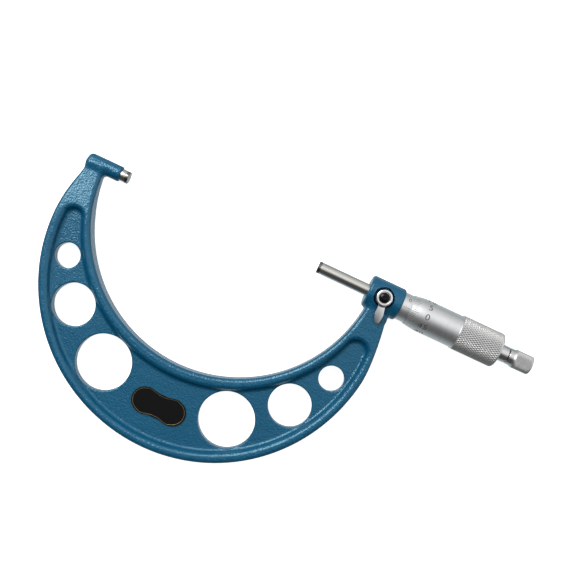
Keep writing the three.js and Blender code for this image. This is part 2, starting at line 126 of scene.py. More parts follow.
# The spindle, the sleeve and the thimble.
SPINDLE_RADIUS = span("spindle_tip")[1].y
THREAD_START = 186.0
THREAD_END = 229.0
THREAD_PITCH = 0.5
sleeve_low, sleeve_high = span("graduated_sleeve")
SLEEVE_RADIUS = sleeve_high.y
SLEEVE_STEP = 0.5  # between the sleeve's lines, which stand above and below the index line by turns
SLEEVE_STEPS = 50
thimble_low, thimble_high = span("thimble")
THIMBLE_START = thimble_low.x
THIMBLE_END = thimble_high.x
THIMBLE_BORE = SLEEVE_RADIUS + 0.2
THIMBLE_EDGE_RADIUS = 9.1
THIMBLE_BEVEL = 9.8
THIMBLE_MARKS = 50
THIMBLE_GROOVE_X = 208.5
BARREL_RADIUS = 10.25
NUMERAL_X = 195.7
LINE_HALF = 0.085  # half of the width of a scale's line
LINE_DEPTH = 0.06
KNURL_X = 216.4
KNURL_RADIUS = thimble_high.y
KNURL_STARTS = 48
KNURL_PITCH = 2.5  # along the axis
KNURL_DEPTH = 0.5

# The ratchet stop.
stem_low, stem_high = span("ratchet_stem")
STEM_COLLAR_END = 249.7
cap_low, cap_high = span("ratchet_cap")
CAP_RIDGES = 66
CAP_WALL_X = 261.8  # where the cap's wide bore ends


# ---- Meshes ----


def quad_object(name, points, quads, materials, slots=None):
    """An object of quads, from its corners in millimetres, with a material number for each quad."""
    mesh = bpy.data.meshes.new(name)
    mesh.vertices.add(len(points))
    mesh.vertices.foreach_set("co", (points * MM).astype(np.float32).ravel())
    mesh.loops.add(quads.size)
    mesh.loops.foreach_set("vertex_index", quads.astype(np.int32).ravel())
    mesh.polygons.add(len(quads))
    mesh.polygons.foreach_set("loop_start", np.arange(0, quads.size, 4, dtype=np.int32))
    if slots is not None:
        mesh.polygons.foreach_set("material_index", slots.astype(np.int32))
    mesh.update(calc_edges=True)
    for finish in materials:
        mesh.materials.append(finish)
    mesh.shade_smooth()
    piece = bpy.data.objects.new(name, mesh)
    bpy.context.scene.collection.objects.link(piece)
    return piece


def place(piece, body, slot, *nodes):
    """Says what the piece rides on and which CAD nodes it stands for. The slot is not used."""
    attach(piece, body)
    if nodes:
        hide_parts(*nodes)
    return piece


# ---- Shapes from signed-distance fields ----


def both(a, b, rounding=0.0):
    """What lies inside both fields, with the edge between them rounded off."""
    u = a + rounding
    v = b + rounding
    return np.minimum(np.maximum(u, v), 0) + np.hypot(np.maximum(u, 0), np.maximum(v, 0)) - rounding


def either(a, b, fillet=0.0):
    """What lies inside one field or the other, with a fillet in the corner between them."""
    return -both(-a, -b, fillet)


def without(a, b, rounding=0.0):
    return both(a, -b, rounding)


def smooth_step(value, low, high):
    t = np.clip((value - low) / (high - low), 0, 1)
    return t * t * (3 - 2 * t)


def gradient(field, points, step=0.02):
    columns = []
    for axis in range(3):
        ahead = points.copy()
        behind = points.copy()
        ahead[:, axis] += step
        behind[:, axis] -= step
        columns.append((field(*ahead.T) - field(*behind.T)) / (2 * step))
    return np.stack(columns, axis=1)


def facing_in(points, quads, normals):
    """Whether the quads are wound against the normals, judged on the first few."""
    sample = quads[:200]
    corners = points[sample]
    facing = np.cross(corners[:, 2] - corners[:, 0], corners[:, 3] - corners[:, 1])
    return (facing * normals[sample[:, 0]]).sum() < 0


def field_object(name, field, low, high, voxel, materials, pick=None):
    """The surface where a field is zero, as quads with the field's own normals.

    The quads' corners are moved exactly onto the surface. pick(centres) says which material each quad has.
    """
    axes = [np.arange(a, b + voxel, voxel) for a, b in zip(low, high)]
    x, y, z = np.meshgrid(*axes, indexing="ij", sparse=True)
    far = 3 * voxel
    values = np.clip(np.broadcast_to(field(x, y, z), [len(axis) for axis in axes]), -far, far)
    grid = openvdb.FloatGrid(background=far)
    grid.copyFromArray(np.ascontiguousarray(values, dtype=np.float32))
    points, quads = grid.convertToQuads(isovalue=0.0)
    points = points.astype(float) * voxel + np.array(low)
    for _ in range(4):
        slope = gradient(field, points)
        reach = field(*points.T) / np.maximum((slope**2).sum(1), 0.2)
        points -= slope * np.clip(reach, -voxel / 2, voxel / 2)[:, None]
    slope = gradient(field, points)
    normals = slope / np.linalg.norm(slope, axis=1)[:, None]
    if facing_in(points, quads, normals):
        quads = quads[:, ::-1]
    slots = None if pick is None else pick(points[quads].mean(axis=1))
    piece = quad_object(name, points, quads, materials, slots)
    piece.data.normals_split_custom_set_from_vertices(normals.tolist())
    return piece


def with_room(low, high, room):
    """The corners of a box that is larger by this much on every side."""
    margin = Vector((room, room, room))
    return low - margin, high + margin


def rod_field(x, y, z, start, end, radius, start_rounding, end_rounding):
    """A round bar along the spindle axis."""
    side = np.hypot(y, z) - radius
    return both(both(side, start - x, start_rounding), x - end, end_rounding)


def recess_end(side):
    """The centre of the circle that rounds off the recess on one side, touching both of its long edges."""
    from_inner = RECESS_RADIUS + RECESS_ENDS[side]
    from_outer = OUTER_RADIUS - OUTER_RIM - RECESS_ENDS[side]
    dx = OUTER_ARC_CENTRE[0] - RECESS_CENTRE[0]
    dy = OUTER_ARC_CENTRE[1] - RECESS_CENTRE[1]
    apart = math.hypot(dx, dy)
    along = (from_inner**2 - from_outer**2 + apart**2) / (2 * apart)
    across = math.sqrt(from_inner**2 - along**2)
    x = RECESS_CENTRE[0] + (along * dx - side * across * dy) / apart
    y = RECESS_CENTRE[1] + (along * dy + side * across * dx) / apart
    return x, y


def recess_outline(x, y, past_outer):
    """The field of the recess between the rims: a crescent whose tips are cut off and rounded."""
    past_rim = np.hypot(x - RECESS_CENTRE[0], y - RECESS_CENTRE[1]) - RECESS_RADIUS
    outline = both(-past_rim, past_outer + OUTER_RIM)
    discs = np.inf
    for side in (-1, 1):
        end_x, end_y = recess_end(side)
        out_x, out_y = end_x - RECESS_CENTRE[0], end_y - RECESS_CENTRE[1]
        reach = math.hypot(out_x, out_y)
        past_end = side * (out_x * (y - end_y) - out_y * (x - end_x)) / reach
        outline = np.where(np.abs(x - end_x) < 60, both(outline, past_end), outline)
        discs = np.minimum(discs, np.hypot(x - end_x, y - end_y) - RECESS_ENDS[side])
    return np.minimum(outline, discs)


def bow_field(x, y, z):
    """The C with its necks and its recess, cut off level below the spindle axis."""
    from_inner = np.hypot(x - INNER_ARC[0], y - INNER_ARC[1]) - INNER_ARC[2]
    out_x, out_y = x - OUTER_ARC_CENTRE[0], y - OUTER_ARC_CENTRE[1]
    swell = OUTER_SWELL * np.cos(3 * np.arctan2(out_y, out_x) + math.pi)
    past_outer = np.hypot(out_x, out_y) - OUTER_RADIUS - swell
    necks = both(both(NECK_LEFT_X - x, x - NECK_RIGHT_X), NECK_BOTTOM_Y - y)
    outside = either(past_outer, necks, 1.5)
    outside = both(outside, x - NECK_RIGHT_X - NECK_RIGHT_SLOPE * (NECK_BOTTOM_Y - y), 4)
    thinned = smooth_step(y, *NECK_THINNING_Y) * smooth_step(x, *NECK_THINNING_X)
    half = RIM_HALF - (RIM_HALF - LEFT_NECK_HALF) * thinned
    body = both(both(-from_inner, outside), np.abs(z) - half, RIM_ROUNDING)
    above_web = np.abs(z) - WEB_HALF
    recess = recess_outline(x, y, past_outer + swell)
    recess = (recess - RECESS_DRAFT * above_web) / math.hypot(1, RECESS_DRAFT)
    body = without(body, both(recess, -above_web, RECESS_FILLET), RECESS_EDGE)
    return both(body, y - NECK_TOP_Y)


def with_lock_pad(body, lock_distance, z):
    """The body with the lock's flat pad on its boss, nothing above it, and a ring groove inside its edge."""
    shoulder = 0.6
    pad_bottom = 4
    pad = both(both(lock_distance - PAD_RADIUS - shoulder, z - PAD_TOP, 0.3), pad_bottom - z)
    body = either(body, pad, 0.8)
    body = without(body, both(lock_distance - PAD_RADIUS, PAD_TOP - z), 0.25)
    groove_radius = PAD_RADIUS - 0.35
    groove_half = 0.4
    groove_bottom = PAD_TOP - 1.4
    groove = both(np.abs(lock_distance - groove_radius) - groove_half, groove_bottom - z)
    return without(body, groove, 0.2)


def with_bores(body, x, y, z):
    """The body with the bores along the spindle axis: the spindle's, the inner sleeve's and the anvil's."""
    bores = [
        (BOSS_START - 5, BOSS_END + 5, SPINDLE_RADIUS + 0.25),
        (173, BOSS_END + 5, 6.3),
        (-20.3, ARM_END + 5, 3.3),
    ]
    for start, end, radius in bores:
        body = without(body, rod_field(x, y, z, start, end, radius, 0, 0), 0.25)
    return body


def frame_field(x, y, z):
    """The whole casting: the bow, the anvil's arm, the spindle's boss and the holes in them."""
    body = bow_field(x, y, z)
    body = either(body, rod_field(x, y, z, ARM_START, ARM_END, ARM_RADIUS, 2.6, 1.3), ARM_FILLET)
    body = either(body, rod_field(x, y, z, BOSS_START, BOSS_END, BOSS_RADIUS, 1.6, 1.6), BOSS_FILLET)
    lock_distance = np.hypot(x - LOCK_X, y - LOCK_Y)
    body = with_lock_pad(body, lock_distance, z)
    for away, hole_y, radius in HOLES:
        across = np.abs(x - HOLE_MIDDLE_X) - away
        body = without(body, np.hypot(across, y - hole_y) - radius, 0.6)
    body = with_bores(body, x, y, z)
    lock_bore = both(lock_distance - 2.8, 1 - z)
    return without(body, lock_bore)


def make_frame():
    room = with_room(frame_low, frame_high, 2)
    piece = field_object("frame_casting", frame_field, *room, 0.66, [enamel_paint()])
    return place(piece, "frame_assembly", "frame_paint", "frame")


def plate_outline(x, y):
    """Two discs side by side with a slightly narrower bar between them."""
    low, high = span("nameplate")
    middle = (low + high) / 2
    lobe = (high.y - low.y) / 2
    spread = (high.x - low.x) / 2 - lobe
    across = np.abs(x - middle.x)
    disc = np.hypot(across - spread, y - middle.y) - lobe
    bar = both(across - spread, np.abs(y - middle.y) - 0.9 * lobe)
    return either(disc, bar, 2.0)


def make_nameplate():
    low, high = span("nameplate")
    line_inside = (0.75, 1.1)  # the border line lies between these distances from the edge
    sunk = 0.15  # the middle lies this much below the border

    def field(x, y, z):
        outline = plate_outline(x, y)
        raised = smooth_step(outline, -line_inside[1] - 0.1, -line_inside[1])
        top = high.z - sunk * (1 - raised)
        return both(both(outline, z - top, 0.25), low.z - z)

    def pick(centres):
        inside = -plate_outline(centres[:, 0], centres[:, 1])
        on_line = (inside > line_inside[0]) & (inside < line_inside[1])
        return on_line & (centres[:, 2] > high.z - 0.2)

    room = with_room(low, high, 0.5)
    piece = field_object("nameplate_plate", field, *room, 0.17, [black_enamel(), old_brass()], pick)
    return place(piece, "frame_assembly", "plate_enamel", "nameplate")


def round_cone(x, y, upper, lower):
    """The outline round two discs on the Y axis and their common tangents. A disc is (y, radius)."""
    apart = upper[0] - lower[0]
    slant = (upper[1] - lower[1]) / apart
    flat = math.sqrt(1 - slant**2)
    across = np.abs(x)
    along = upper[0] - y
    side = flat * along - slant * across
    near = np.hypot(across, along) - upper[1]
    far = np.hypot(across, along - apart) - lower[1]
    between = flat * across + slant * along - upper[1]
    return np.where(side < 0, near, np.where(side > flat * apart, far, between))


def lever_field(x, y, z):
    """An eye round the screw and a tail like a leaf, which droops and is a little convex across."""
    low, high = span("lock_lever")
    turned_x = (x - LOCK_X) * math.cos(LEVER_TILT) + (y - LOCK_Y) * math.sin(LEVER_TILT)
    turned_y = (y - LOCK_Y) * math.cos(LEVER_TILT) - (x - LOCK_X) * math.sin(LEVER_TILT)
    distance = np.hypot(turned_x, turned_y)
    eye = both(both(distance - 4.9, z - high.z, 0.7), low.z - z, 0.3)
    root, middle, tip = (-4.0, 1.9), (-10.2, 2.65), (-14.2, 1.65)
    inner_half = round_cone(turned_x, turned_y, root, middle)
    outer_half = round_cone(turned_x, turned_y, middle, tip)
    tail_outline = np.minimum(inner_half, outer_half)
    droop = 0.009 * np.minimum(turned_y + 4.2, 0) ** 2
    tail_top = high.z - 0.5 - droop - 0.07 * turned_x**2
    tail = both(both(tail_outline, z - tail_top, 0.3), low.z + 0.05 - z, 0.25)
    lever = either(eye, tail, 1.0)
    cup = both(distance - 3.5, low.z + 0.7 - z)
    return without(without(lever, cup, 0.3), distance - 2.0)


def make_lever():
    room = with_room(*span("lock_lever"), 0.4)
    piece = field_object("lock_lever_forged", lever_field, *room, 0.14, [bright_chrome()])
    return place(piece, "lock_lever_assembly", "bright_chrome", "lock_lever")


def hexagon(x, y, flat):
    """A hexagon's outline; flat is the distance from its middle to a side."""
    slanted = np.abs(x) * math.cos(math.pi / 6) + np.abs(y) * 0.5
    return np.maximum(slanted, np.abs(y)) - flat


def make_lock_screw():
    low, high = span("lock_screw")
    head_radius = (high.x - low.x) / 2
    head_bottom = high.z - 2.1
    dome_radius = 5.5
    shank_radius = 0.8
    shank_top = high.z - 1.5
    socket_half = 1.05
    socket_bottom = high.z - 1.1

    def field(x, y, z):
        distance = np.hypot(x - LOCK_X, y - LOCK_Y)
        dome = np.hypot(distance, z - (high.z - dome_radius)) - dome_radius
        head = both(both(distance - head_radius, dome, 0.35), head_bottom - z, 0.1)
        shank = both(both(distance - shank_radius, low.z - z), z - shank_top)
        socket = both(hexagon(x - LOCK_X, y - LOCK_Y, socket_half), socket_bottom - z)
        return without(either(head, shank), socket, 0.12)

    piece = field_object("lock_screw_head", field, *with_room(low, high, 0.3), 0.1, [black_oxide()])
    return place(piece, "lock_lever_assembly", "black_steel", "lock_screw")


def make_ratchet_screw():
    low, high = span("ratchet_screw")
    head_start = high.x - 1.3
    shank_radius = 1.0
    shank_end = high.x - 0.5
    slot_half = 0.35
    slot_start = high.x - 0.6

    def field(x, y, z):
        distance = np.hypot(y, z)
        head = both(both(distance - high.y, x - high.x, 0.35), head_start - x)
        shank = both(both(distance - shank_radius, x - shank_end), low.x - x, 0.2)
        slot = both(np.abs(z) - slot_half, slot_start - x)
        return without(either(head, shank), slot, 0.06)

    piece = field_object("ratchet_screw_head", field, *with_room(low, high, 0.3), 0.11, [polished_steel()])
    return place(piece, "thimble_assembly", "ground_steel", "ratchet_screw")


# ---- Turned shapes ----


def rounded(corners, steps=4):
    """A closed profile from its (x, r, rounding) corners, with each rounding as an arc."""
    points = []
    for index, (x, r, radius) in enumerate(corners):
        here = Vector((x, r))
        if radius == 0:
            points.append((x, r))
            continue
        to_last = (Vector(corners[index - 1][:2]) - here).normalized()
        to_next = (Vector(corners[(index + 1) % len(corners)][:2]) - here).normalized()
        half = to_last.angle(to_next) / 2
        centre = here + (to_last + to_next).normalized() * (radius / math.sin(half))
        first = here + to_last * (radius / math.tan(half)) - centre
        last = here + to_next * (radius / math.tan(half)) - centre
        start = math.atan2(first.y, first.x)
        turn = (math.atan2(last.y, last.x) - start + math.pi) % (2 * math.pi) - math.pi
        for step in range(steps + 1):
            angle = start + turn * step / steps
            points.append((centre.x + radius * math.cos(angle), centre.y + radius * math.sin(angle)))
    return points


def evenly(sides):
    return np.arange(sides) * 2 * math.pi / sides


def with_rows(profile, places, over=0):
    """The profile with extra points where it passes these places along X, on its side outside this radius."""
    made = []
    for index, (x, r) in enumerate(profile):
        made.append((x, r))
        next_x, next_r = profile[(index + 1) % len(profile)]
        if next_x <= x + 1e-9 or min(r, next_r) < over:
            continue
        for extra in places:
            if x + 1e-6 < extra < next_x - 1e-6:
                made.append((extra, r + (next_r - r) * (extra - x) / (next_x - x)))
    return made


def ring_quads(rows, columns):
    """The quads of a surface that closes on itself both ways, by the numbers of its corners."""
    row, column = np.meshgrid(np.arange(rows), np.arange(columns), indexing="ij")
    next_row = (row + 1) % rows
    next_column = (column + 1) % columns
    around = [(row, column), (row, next_column), (next_row, next_column), (next_row, column)]
    return np.stack([a * columns + b for a, b in around], axis=-1).reshape(-1, 4)


def enclosed_volume(corners):
    """Six times the volume inside a closed surface of quads, below zero if they face inwards."""
    first, second, third, fourth = corners.swapaxes(0, 1)
    return (first * (np.cross(second, third) + np.cross(third, fourth))).sum()


def revolved(name, profile, angles, materials, carve=None, pick=None, sharp=35):
    """A solid of revolution about X.

    carve(x, r, angle) gives how deep the surface is cut there. pick(x, r, angle) says which material a quad
    with that centre has. Edges of more than sharp degrees stay sharp.
    """
    x, r = np.array(profile).T
    x = x[:, None] + 0 * angles
    r = r[:, None] + 0 * angles
    angle = angles[None, :] + 0 * x
    if carve is not None:
        r = r - carve(x, r, angle)
    points = np.stack([x, r * np.sin(angle), r * np.cos(angle)], axis=-1).reshape(-1, 3)
    quads = ring_quads(*x.shape)
    if enclosed_volume(points[quads]) < 0:
        quads = quads[:, ::-1]
    slots = None
    if pick is not None:
        middle_x, middle_y, middle_z = points[quads].mean(axis=1).T
        slots = pick(middle_x, np.hypot(middle_y, middle_z), np.arctan2(middle_y, middle_z))
    piece = quad_object(name, points, quads, materials, slots)
    if (r < 1e-6).any():
        close_axis(piece.data)
    piece.data.set_sharp_from_angle(angle=math.radians(sharp))
    return piece


def close_axis(mesh):
    """Joins the corners that lie together on the axis, so that the end faces become fans."""
    solid = bmesh.new()
    solid.from_mesh(mesh)
    bmesh.ops.remove_doubles(solid, verts=solid.verts, dist=1e-7)
    solid.to_mesh(mesh)
    solid.free()


def turned_up(piece, x, y):
    """Stands a piece that was turned about X upright at (x, y)."""
    piece.data.transform(Matrix.Translation((x * MM, y * MM, 0)) @ Matrix.Rotation(-math.pi / 2, 4, "Y"))
    return piece


def make_anvil():
    low, high = span("anvil")
    mouth = ARM_END + 0.05
    shank_radius = 3.0
    profile = rounded([
        (low.x, 0, 0),
        (low.x, shank_radius, 0.3),
        (mouth, shank_radius, 0),
        (mouth, high.y, 0.15),
        (high.x, high.y, 0.05),
        (high.x, 0, 0),
    ])
    piece = revolved("anvil_pin", profile, evenly(96), [polished_steel()])
    return place(piece, "frame_assembly", "ground_steel", "anvil")


def make_tip(node, body, facing):
    """A lapped carbide measuring face, which faces along X or against it."""
    low, high = span(node)
    face, back = (high.x, low.x) if facing > 0 else (low.x, high.x)
    chamfer = 0.2
    profile = rounded([
        (face, 0, 0),
        (face, high.y - chamfer, 0.08),
        (face - chamfer * facing, high.y, 0.08),
        (back, high.y, 0.04),
        (back, 0, 0),
    ])
    piece = revolved(node + "_lapped", profile, evenly(96), [carbide()])
    return place(piece, body, "carbide", node)


def make_spindle():
    """The ground spindle with its screw thread, and the cone at its end that carries the thimble."""
    low, high = span("spindle")
    thread_radius = high.y - 0.55
    thread_depth = 0.3
    rear_radius = 3.5
    cone_start, cone_end = 232.3, 233.3
    profile = rounded([
        (low.x, 0, 0),
        (low.x, SPINDLE_RADIUS, 0.05),
        (THREAD_START - 1, SPINDLE_RADIUS, 0.2),
        (THREAD_START, thread_radius, 0),
        (THREAD_END, thread_radius, 0),
        (THREAD_END + 1, SPINDLE_RADIUS, 0.2),
        (cone_start, SPINDLE_RADIUS, 0),
        (cone_end, high.y, 0.1),
        (high.x, rear_radius, 0.1),
        (high.x, 0, 0),
    ])

    def thread(x, r, angle):
        phase = (x / THREAD_PITCH + angle / (2 * math.pi)) % 1
        inside = (x > THREAD_START + 0.01) & (x < THREAD_END - 0.01) & (r > 3)
        return np.where(inside, thread_depth * np.abs(2 * phase - 1), 0)

    rows = np.arange(THREAD_START, THREAD_END, THREAD_PITCH / 4)
    profile = with_rows(profile, rows, over=3)
    piece = revolved("spindle_ground", profile, evenly(64), [polished_steel()], carve=thread)
    return place(piece, "thimble_assembly", "ground_steel", "spindle")


# ---- Scales ----


def text_outline(body, height):
    """The flat mesh of a numeral, centred on the origin, cut into strips so that it can be bent."""
    strip = 0.3
    curve = bpy.data.curves.new("numeral", "FONT")
    curve.body = body
    curve.size = height / 0.69  # the font's numerals are 0.69 of its size high
    curve.align_x = "CENTER"
    curve.space_character = 1.05
    holder = bpy.data.objects.new("numeral", curve)
    bpy.context.scene.collection.objects.link(holder)
    bpy.context.view_layer.update()
    flat = bmesh.new()
    flat.from_mesh(holder.to_mesh())
    bpy.data.objects.remove(holder)
    bpy.data.curves.remove(curve)
    for level in np.arange(0, height, strip):
        parts = flat.verts[:] + flat.edges[:] + flat.faces[:]
        bmesh.ops.bisect_plane(flat, geom=parts, plane_co=(0, level, 0), plane_no=(0, 1, 0))
    bmesh.ops.triangulate(flat, faces=flat.faces[:])
    points = np.array([vertex.co for vertex in flat.verts])[:, :2] - [0, height / 2]
    faces = [[vertex.index for vertex in face.verts] for face in flat.faces]
    flat.free()
    return points, faces


def wrapped_numerals(name, labels, radius, height, widen=1.1):
    """Numerals filled flush into a cylinder about X. A label is (text, x, angle)."""
    points = []
    faces = []
    for body, x, angle in labels:
        flat, parts = text_outline(body, height)
        start = len(points)
        for across, up in flat:
            at = angle + up / radius
            points.append((x + across * widen, radius * math.sin(at), radius * math.cos(at)))
        faces += [[start + corner for corner in part] for part in parts]
    mesh = bpy.data.meshes.new(name)
    mesh.from_pydata((np.array(points) * MM).tolist(), [], faces)
    mesh.materials.append(scale_ink())
    mesh.shade_smooth()
    piece = bpy.data.objects.new(name, mesh)
    bpy.context.scene.collection.objects.link(piece)
    return piece


def line_edges(wall):
    """Where a scale's line has its edges across: the line between two slanting walls of this width."""
    return [-LINE_HALF - wall, -LINE_HALF, LINE_HALF, LINE_HALF + wall]


def make_sleeve():
    """The outer sleeve, with its index line, its millimetre lines above it and its half millimetres below."""
    zero = THIMBLE_START
    wall = 0.04
    slack = 1e-3
    fifth_line, whole_line, half_line = (math.radians(degrees) for degrees in (16.0, 11.0, -11.0))
    index_start, index_end = sleeve_low.x + 1.5, sleeve_high.x - 0.5
    edges = line_edges(wall)

    rows = [zero + SLEEVE_STEP * step + edge for step in range(SLEEVE_STEPS + 1) for edge in edges]
    rows = sorted(rows + [index_start, index_end])
    around = [edge / SLEEVE_RADIUS for edge in edges]
    for end in (fifth_line, whole_line, half_line):
        around += [end - wall / SLEEVE_RADIUS, end + wall / SLEEVE_RADIUS]
    angles = np.unique(np.round(np.concatenate([evenly(120) - math.pi, around]), 5))

    def inked(x, r, angle):
        step = np.round((x - zero) / SLEEVE_STEP)
        on_line = np.abs(x - zero - step * SLEEVE_STEP) < LINE_HALF + slack
        on_line &= (step >= 0) & (step <= SLEEVE_STEPS)
        top = np.where(step % 10 == 0, fifth_line, whole_line)
        above = (step % 2 == 0) & (angle > 0) & (angle < top)
        below = (step % 2 == 1) & (angle < 0) & (angle > half_line)
        on_index = np.abs(angle) * SLEEVE_RADIUS < LINE_HALF + slack
        on_index &= (x > index_start - 0.1) & (x < index_end + 0.05)
        return (r > SLEEVE_RADIUS - 0.2) & (on_line & (above | below) | on_index)

    def carve(x, r, angle):
        return LINE_DEPTH * inked(x, r, angle)

    bore = 7.0
    profile = rounded([
        (sleeve_low.x, bore, 0),
        (sleeve_low.x, SLEEVE_RADIUS, 0.3),
        (sleeve_high.x, SLEEVE_RADIUS, 0.4),
        (sleeve_high.x, bore, 0),
    ])
    profile = with_rows(profile, rows, over=bore + 1)
    piece = revolved("sleeve_graduated", profile, angles, [satin_chrome(), scale_ink()], carve, inked)
    place(piece, "frame_assembly", "satin_chrome", "graduated_sleeve")
    labels = [(str(5 * k), zero + 5 * k - (2.2 if k == 0 else 0.9), math.radians(34)) for k in range(6)]
    numerals = wrapped_numerals("sleeve_numerals", labels, SLEEVE_RADIUS + 0.01, height=2.4)
    return place(numerals, "frame_assembly", "black_steel")


def thimble_radius(x):
    """The outside of the thimble: a bevel that swells smoothly into the barrel."""
    share = np.clip((x - THIMBLE_START) / THIMBLE_BEVEL, 0, 1)
    return THIMBLE_EDGE_RADIUS + (BARREL_RADIUS - THIMBLE_EDGE_RADIUS) * np.sin(share * math.pi / 2)


def make_thimble_barrel():
    """The smooth front of the thimble, with fifty lines round its bevel and a numeral at every fifth."""
    at_radius = 9.5  # where the lines have their width
    wall = 0.035
    front = 9.0  # the radius where the bevel meets the front face
    mark_start = THIMBLE_START + 0.3
    long_end = THIMBLE_START + 5.0
    short_end = THIMBLE_START + 3.6
    pitch = 2 * math.pi / THIMBLE_MARKS
    offsets = [edge / at_radius for edge in line_edges(wall)] + [pitch / 2]
    numbers = range(-THIMBLE_MARKS // 2, THIMBLE_MARKS // 2)
    angles = np.array([number * pitch + offset for number in numbers for offset in offsets])

    rows = list(np.linspace(THIMBLE_START + 0.15, THIMBLE_START + 10, 12))
    for x in (mark_start, short_end, long_end):
        rows += [x, x + 0.05]
    outer = [(x, thimble_radius(x)) for x in sorted(rows)]
    groove = [(-0.2, 0), (-0.1, 0.2), (0.1, 0.2), (0.2, 0)]
    outer += [(THIMBLE_GROOVE_X + along, BARREL_RADIUS - deep) for along, deep in groove]
    rear = KNURL_X + 0.5
    profile = [(THIMBLE_START, THIMBLE_BORE), (THIMBLE_START, front)] + outer
    profile += [(rear, BARREL_RADIUS), (rear, THIMBLE_BORE)]

    def inked(x, angle, reach, slack):
        number = np.round(angle / pitch)
        on_line = np.abs(angle - number * pitch) < LINE_HALF / at_radius + slack
        end = np.where(number % 5 == 0, long_end, short_end)
        return on_line & (x > mark_start + reach) & (x < end + 0.02)

    def carve(x, r, angle):
        return LINE_DEPTH * ((r > front + 0.05) & inked(x, angle, 0.02, 1e-5))

    def pick(x, r, angle):
        return (r > front - 0.02) & inked(x, angle, 0, 0)

    piece = revolved("thimble_barrel", profile, angles, [satin_chrome(), scale_ink()], carve, pick, sharp=25)
    place(piece, "thimble_assembly", "satin_chrome", "thimble")
    labels = [(str(5 * k), NUMERAL_X - (0.2 if k > 1 else 0), math.radians(36 * k)) for k in range(10)]
    numerals = wrapped_numerals("thimble_numerals", labels, BARREL_RADIUS + 0.01, height=3.7)
    return place(numerals, "thimble_assembly", "black_steel")


def make_thimble_grip():
    """The knurled rear of the thimble: two sets of crossing grooves leave rows of small diamonds."""
    start, end = KNURL_X, THIMBLE_END
    knurl_start = start + 0.55
    steps = 8  # of the mesh, for each diamond
    chamfer = 0.9
    rows = np.arange(knurl_start, end - chamfer, KNURL_PITCH / steps)
    outer = [(start, BARREL_RADIUS - 0.3), (start, BARREL_RADIUS + 0.05), (start + 0.3, KNURL_RADIUS)]
    outer += [(x, KNURL_RADIUS) for x in rows]
    outer += [
        (end - chamfer, KNURL_RADIUS),
        (end - chamfer / 2, KNURL_RADIUS - chamfer / 2 + 0.1),
        (end, KNURL_RADIUS - chamfer),
    ]
    stem_hole = 4.2
    profile = outer + [(end, stem_hole), (end - 2, stem_hole), (end - 2, THIMBLE_BORE), (start, THIMBLE_BORE)]

    def carve(x, r, angle):
        around = angle * KNURL_STARTS / (2 * math.pi)
        along = (x - knurl_start) / KNURL_PITCH
        first = np.abs((around + along) % 1 - 0.5)
        second = np.abs((around - along) % 1 - 0.5)
        pyramid = 2 * np.minimum(first, second)
        fade = np.clip((x - start - 0.3) / 0.4, 0, 1) * np.clip((end - 0.5 - x) / 0.5, 0, 1)
        return np.where(r > BARREL_RADIUS + 0.16, KNURL_DEPTH * (1 - pyramid) * fade, 0)

    angles = evenly(KNURL_STARTS * steps)
    piece = revolved("thimble_grip", profile, angles, [knurled_chrome()], carve, sharp=50)
    return place(piece, "thimble_assembly", "satin_chrome", "thimble")


# ---- Ratchet stop ----


def make_stem():
    """The ratchet's stem: a core inside the thimble, a polished collar behind it and a seat for the cap."""
    collar_start = THIMBLE_END + 0.05
    core = 1.6
    cap_seat = 2.2
    screw_hole, hole_depth = 1.3, 6
    profile = rounded([
        (stem_low.x, 0, 0),
        (stem_low.x, core, 0),
        (collar_start, core, 0),
        (collar_start, stem_high.y, 0.25),
        (STEM_COLLAR_END, stem_high.y, 0.3),
        (STEM_COLLAR_END, cap_seat, 0),
        (stem_high.x, cap_seat, 0.2),
        (stem_high.x, screw_hole, 0),
        (stem_high.x - hole_depth, screw_hole, 0),
        (stem_high.x - hole_depth, 0, 0),
    ])
    piece = revolved("ratchet_stem_turned", profile, evenly(96), [polished_chrome()])
    return place(piece, "thimble_assembly", "bright_chrome", "ratchet_stem")


def make_cap():
    """The ratchet's cap: a polished neck that flares into a finely ridged grip with a dished end."""
    start, end = cap_low.x, cap_high.x
    neck = stem_high.y
    radius = cap_high.y
    flare = start + 2.7
    grip_start = start + 3.9
    ridge_height = 0.16
    outer = [(start, neck - 0.25), (start + 0.08, neck - 0.07), (start + 0.25, neck), (flare, neck)]
    outer += [(grip_start - 0.1, radius - 0.08), (grip_start, radius)]
    outer += [(x, radius) for x in np.linspace(grip_start + 0.4, end - 1.2, 8)]
    rounding = [(0.7, 0), (0.4, 0.08), (0.15, 0.28), (0, 0.6)]
    outer += [(end - before, radius - deep) for before, deep in rounding]
    dish, hole, bore = 2.9, 1.5, 4.4
    dish_floor = end - 1.9
    profile = outer + [(end, dish + 0.1), (end - 0.1, dish), (dish_floor, dish), (dish_floor, hole)]
    profile += [(CAP_WALL_X, hole), (CAP_WALL_X, bore), (start, bore)]

    def carve(x, r, angle):
        ridge = np.abs((angle * CAP_RIDGES / (2 * math.pi)) % 1 - 0.5) * 2
        fade = np.clip((x - grip_start) / 0.4, 0, 1) * np.clip((end - 0.4 - x) / 0.6, 0, 1)
        return np.where(r > neck + 0.3, ridge_height * (1 - np.minimum(1, 1.4 * ridge)) * fade, 0)

    def pick(x, r, angle):
        return (x > flare) & (r > neck - 0.2)

    steps = 6  # of the mesh, for each ridge
    angles = evenly(CAP_RIDGES * steps)
    materials = [polished_chrome(), knurled_chrome()]
    piece = revolved("ratchet_cap_knurled", profile, angles, materials, carve, pick, sharp=50)
    return place(piece, "ratchet_knob", "satin_chrome", "ratchet_cap")


